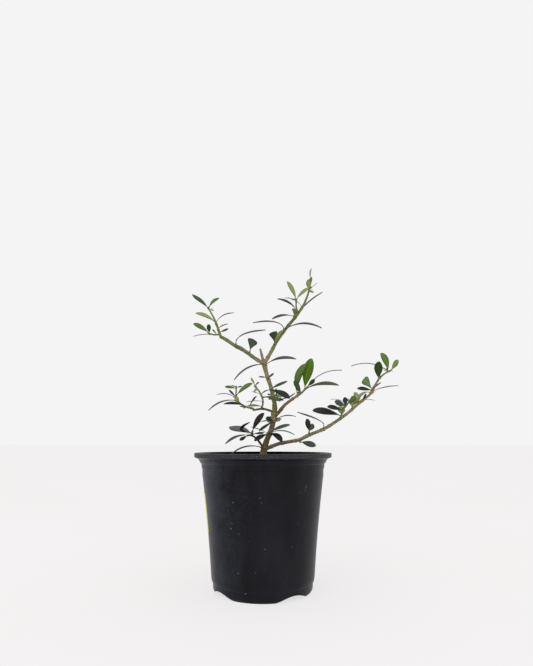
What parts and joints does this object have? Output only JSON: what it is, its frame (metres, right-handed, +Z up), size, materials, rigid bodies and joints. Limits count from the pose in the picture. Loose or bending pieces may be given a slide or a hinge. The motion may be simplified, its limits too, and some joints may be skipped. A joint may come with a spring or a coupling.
{
  "type": "potted olive bonsai",
  "caption": "Small young olive trained as an open bonsai, with a crooked trunk, long low bough and narrow paired leaves, in a round black nursery pot.",
  "frame": {"origin": "middle of the flat underside of the pot, on the ground", "axes": "+Z up along the pot's axis; +X towards the long low bough; -Y the front, as the picture sees it"},
  "size_m": [0.2192, 0.1392, 0.3223],
  "materials": {
    "pot_plastic": "black moulded plastic with a soft sheen and light dust",
    "potting_soil": "dark damp potting soil, matte and uneven",
    "bark": "tan-olive young bark, matte",
    "leaves": "narrow evergreen leaves, satin above and paler below"
  },
  "bodies": {
    "root": {"pot": "pot_plastic", "soil": "potting_soil", "trunk": "bark", "stub": "bark", "bough_upper_left": "bark", "bough_upper_right": "bark", "bough_middle_right": "bark", "bough_lower_right": "bark", "bough_middle_left": "bark", "bough_lower_left": "bark", "bough_back_upper": "bark", "bough_back_lower": "bark", "foliage_upper_left": "leaves", "foliage_top": "leaves", "foliage_middle_right": "leaves", "foliage_right_outer": "leaves", "foliage_right_inner": "leaves", "foliage_middle_left": "leaves", "foliage_middle_left_rising": "leaves", "foliage_lower_left": "leaves", "foliage_back_upper": "leaves", "foliage_back_lower": "leaves", "foliage_upper_left_root": "leaves", "foliage_upper_left_joint": "leaves", "foliage_upper_right_root": "leaves", "foliage_upper_right_joint": "leaves", "foliage_upper_right_tip": "leaves", "foliage_fork": "leaves", "foliage_trunk_upper": "leaves", "foliage_trunk_middle": "leaves", "foliage_trunk_heart": "leaves", "foliage_trunk_low": "leaves", "foliage_trunk_lower": "leaves", "foliage_trunk_foot": "leaves", "foliage_lower_right_under": "leaves", "foliage_lower_right_pair": "leaves", "foliage_lower_right_joint": "leaves", "foliage_lower_right_tip": "leaves"}
  },
  "joints": []
}
